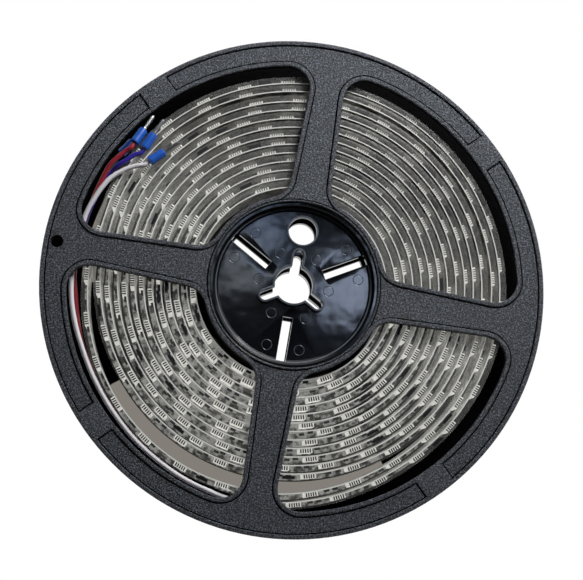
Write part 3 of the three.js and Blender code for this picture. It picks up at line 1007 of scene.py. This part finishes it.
# %% Strip finishes
WHITE_FROM = -0.05  # metres from the axis towards the camera's side
WHITE_TO = -0.005


def white_and_lit_side(tree, place):
    """0 on the side of the reel that shows the strip's tape, and 1 on the side that shows white and
    has the most painted light.
    """
    along = node(tree, "ShaderNodeVectorMath", {"operation": "DOT_PRODUCT"}, in0=place)
    along.inputs[1].default_value = polar(CAMERA_SIDE, 1000)
    return step_at(tree, along.outputs["Value"], WHITE_FROM, WHITE_TO)


def glow(tree, surface, share, low, high):
    """Paints light on the surface: a glow of its own, from low to high by a share."""
    tree.links.new(ranged(tree, share, low, high), surface.inputs["Emission Strength"])


def glowing_white(name, hex_colour, roughness, low, high):
    """A white finish with a painted glow that grows from low on the tape's side to high on the white
    one.
    """
    material, tree, surface = new_material(name, hex_colour, roughness, Emission_Strength=low)
    surface.inputs["Emission Color"].default_value = linear(hex_colour)
    glow(tree, surface, white_and_lit_side(tree, object_place(tree)), low, high)
    return material


def two_sided_look(name, hex_colour, roughness, brown, pale, low, high):
    """Fine patches, brown on the tape's side and pale on the white one, with a painted glow from low
    to high towards the white side. brown and pale each give a noise's scale and limits and its two
    colours."""
    material, tree, surface = new_material(name, hex_colour, roughness)
    place = object_place(tree)
    side = white_and_lit_side(tree, place)
    dull, bright = (blend(tree, noise(tree, place, *patches[:3]), *patches[3:])
                    for patches in (brown, pale))
    colour = blend(tree, side, dull, bright)
    tree.links.new(colour, surface.inputs["Base Color"])
    tree.links.new(colour, surface.inputs["Emission Color"])
    glow(tree, surface, side, low, high)
    return material


def slot_look():
    """The slots between a light's pins: painted shade, near black on the white side, and pale,
    hard to tell from the light, on the tape's side.
    """
    material, tree, surface = new_material("epoxy_dark_gap", "#1c1c1a", 0.6)
    side = white_and_lit_side(tree, object_place(tree))
    tree.links.new(blend(tree, side, "#b4b3ae", "#0c0c0b"), surface.inputs["Base Color"])
    return material


def clear_gel():
    """Clear silicone with fine clouds, which hide a small share of what lies under it."""
    material, tree, surface = new_material("silicone_clear_cast", "#8e8e8b", 0.3)
    cloud = node(tree, "ShaderNodeTexNoise", {"Scale": 900, "Detail": 3.0, "Roughness": 0.65},
                 Vector=object_place(tree))
    share = ranged(tree, step_at(tree, cloud.outputs[0], 0.3, 0.7), 0.06, 0.4)
    mix_shaders(tree, share, node(tree, "ShaderNodeBsdfTransparent"), surface)
    return material


def sealant():
    """White silicone with soft dark dots in its colour."""
    material, tree, surface = new_material("silicone_white_sealant", "#cfcfc8", 0.35)
    blobs = node(tree, "ShaderNodeTexVoronoi", {"Scale": 620}, Vector=object_place(tree))
    shade = step_at(tree, blobs.outputs[0], 0.15, 0.6)
    tree.links.new(blend(tree, shade, "#3f403f", "#d8d8d2"), surface.inputs["Base Color"])
    return material


# %% Dressing the strip
def dress_sides(piece, looks):
    """Gives a band one finish for each of its sides, by the numbers that band() left on its faces."""
    numbers = [face.material_index for face in piece.data.polygons]
    ready(piece, looks[0])
    for look in looks[1:]:
        piece.data.materials.append(look)
    piece.data.polygons.foreach_set("material_index", numbers)


# The white solder mask has a painted glow, stronger on the near side.
white_mask = glowing_white("fpc_white_soldermask", "#bebeba", 0.5, 0.09, 0.42)
# The tape: its own dull brown on the tape's side; pale, with a painted glow, on the white side.
tape = two_sided_look("acrylic_tape_backing", "#5d5850", 0.7, (260, 0.38, 0.64, "#1c1915", "#84817c"),
                      (500, 0.35, 0.65, "#5a5a57", "#b2b2ae"), 0.0, 0.4)
dress_sides(circuit, [white_mask, tape])
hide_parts("led_strip")
# The light packages are not lit, but have a painted glow, stronger on the near side.
ready(lights, glowing_white("ppa_white_moulded", "#e9e8e2", 0.4, 0.4, 0.72))
ready(gaps, slot_look())
black_epoxy = new_material("epoxy_black_moulded", "#121212", 0.4)[0]
ready(resistors, black_epoxy)
ready(chips, black_epoxy)
ready(pads, new_material("copper_tinned_pads", "#b9b4aa", 0.35, Metallic=1.0)[0])
# The coating's underside: painted shade in dark brown patches on the tape's side, and pale with a
# painted glow on the white side.
gel_underside = two_sided_look("silicone_clear_shaded", "#4a4640", 0.5,
                               (170, 0.4, 0.62, "#0f0d0a", "#4b453b"),
                               (500, 0.4, 0.6, "#3c3c3a", "#babab6"), 0.14, 0.38)
gel_in_shade = new_material("silicone_clear_in_shade", "#23211e", 0.5)[0]
dress_sides(coating, [clear_gel(), gel_underside, gel_in_shade])
white_seal = sealant()
ready(cap, white_seal)
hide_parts("solder_cap")
ready(splice, white_seal)


# %% [markdown]
# The reel stands on white paper that also rises far behind it, so that low views stay white. Seen
# straight, in a reflection or through the coating, the paper is pure white, as in the picture. Under
# the reel, where only slits show it, it is in shade: a ring drawn by the distance from the axis.

# %% Floor and light
PAPER_R = 12.0  # metres; a camera that is moved round the reel sees 13 m far
PAPER_H = 5.0
PAPER_Z = -0.0002
SHADE_IN = (32.5, 34)  # millimetres from the axis, over which the shade begins, lifts and ends
SHADE_LIFT = (48, 62)
SHADE_OUT = (93.5, 92.5)
WORLD_LEVEL = 0.012


def seen_directly(tree):
    """1 for what the camera sees straight, in a reflection or through glass, else 0."""
    rays = node(tree, "ShaderNodeLightPath").outputs
    straight = maths(tree, "MAXIMUM", rays["Is Camera Ray"], rays["Is Transmission Ray"])
    return maths(tree, "MAXIMUM", straight, rays["Is Glossy Ray"])


def white_paper():
    material, tree, surface = new_material("white_paper_backdrop", "#e6e6e6", 0.9)
    away = away_from_axis(tree, object_place(tree))
    begin, lift, end = (step_at(tree, away, low * MM, high * MM)
                        for low, high in (SHADE_IN, SHADE_LIFT, SHADE_OUT))
    shade = blend(tree, lift, "#15130f", "#837f78")
    colour = blend(tree, maths(tree, "MULTIPLY", begin, end), "#ffffff", shade)
    emission = node(tree, "ShaderNodeEmission", {"Strength": 1.0}, Color=colour)
    mix_shaders(tree, seen_directly(tree), surface, emission)
    return material


def paper():
    """The floor and the low round wall far behind the reel."""
    bpy.ops.mesh.primitive_plane_add(size=2 * PAPER_R, location=(0, 0, PAPER_Z))
    floor = rename("floor")
    bpy.ops.mesh.primitive_cylinder_add(vertices=64, radius=PAPER_R, depth=PAPER_H,
                                        end_fill_type="NOTHING",
                                        location=(0, 0, PAPER_H / 2 + PAPER_Z))
    wall = rename("backdrop")
    white = white_paper()
    for piece in (floor, wall):
        piece.data.materials.append(white)


def softbox(name, spot, size, power, hex_colour="#ffffff"):
    """An area light that faces the reel."""
    bpy.ops.object.light_add(type="AREA", location=spot)
    lamp = bpy.context.object
    lamp.name = name
    lamp.data.shape = "RECTANGLE"
    lamp.data.size, lamp.data.size_y = size
    lamp.data.energy = power
    lamp.data.color = linear(hex_colour)[:3]
    lamp.rotation_euler = (-Vector(spot)).to_track_quat("-Z", "Y").to_euler()


deselect()
paper()
softbox("window_light", (0.17, 0.3, 0.24), (0.16, 0.16), 2.15)
softbox("sky_patch_right", (0.15, 0.17, 0.9), (0.06, 0.07), 0.115, "#cfe0ff")
softbox("sky_patch_left", (0.02, 0.2, 0.9), (0.05, 0.055), 0.033, "#dde8f4")
softbox("sky_patch_top", (0.052, 0.235, 0.9), (0.05, 0.05), 0.038, "#b4ccf4")
world = bpy.data.worlds.new("studio")
bpy.context.scene.world = world
world.use_nodes = True
background = world.node_tree.nodes["Background"]
background.inputs["Color"].default_value = (1, 1, 1, 1)
background.inputs["Strength"].default_value = WORLD_LEVEL
bpy.context.scene.view_settings.view_transform = "Standard"
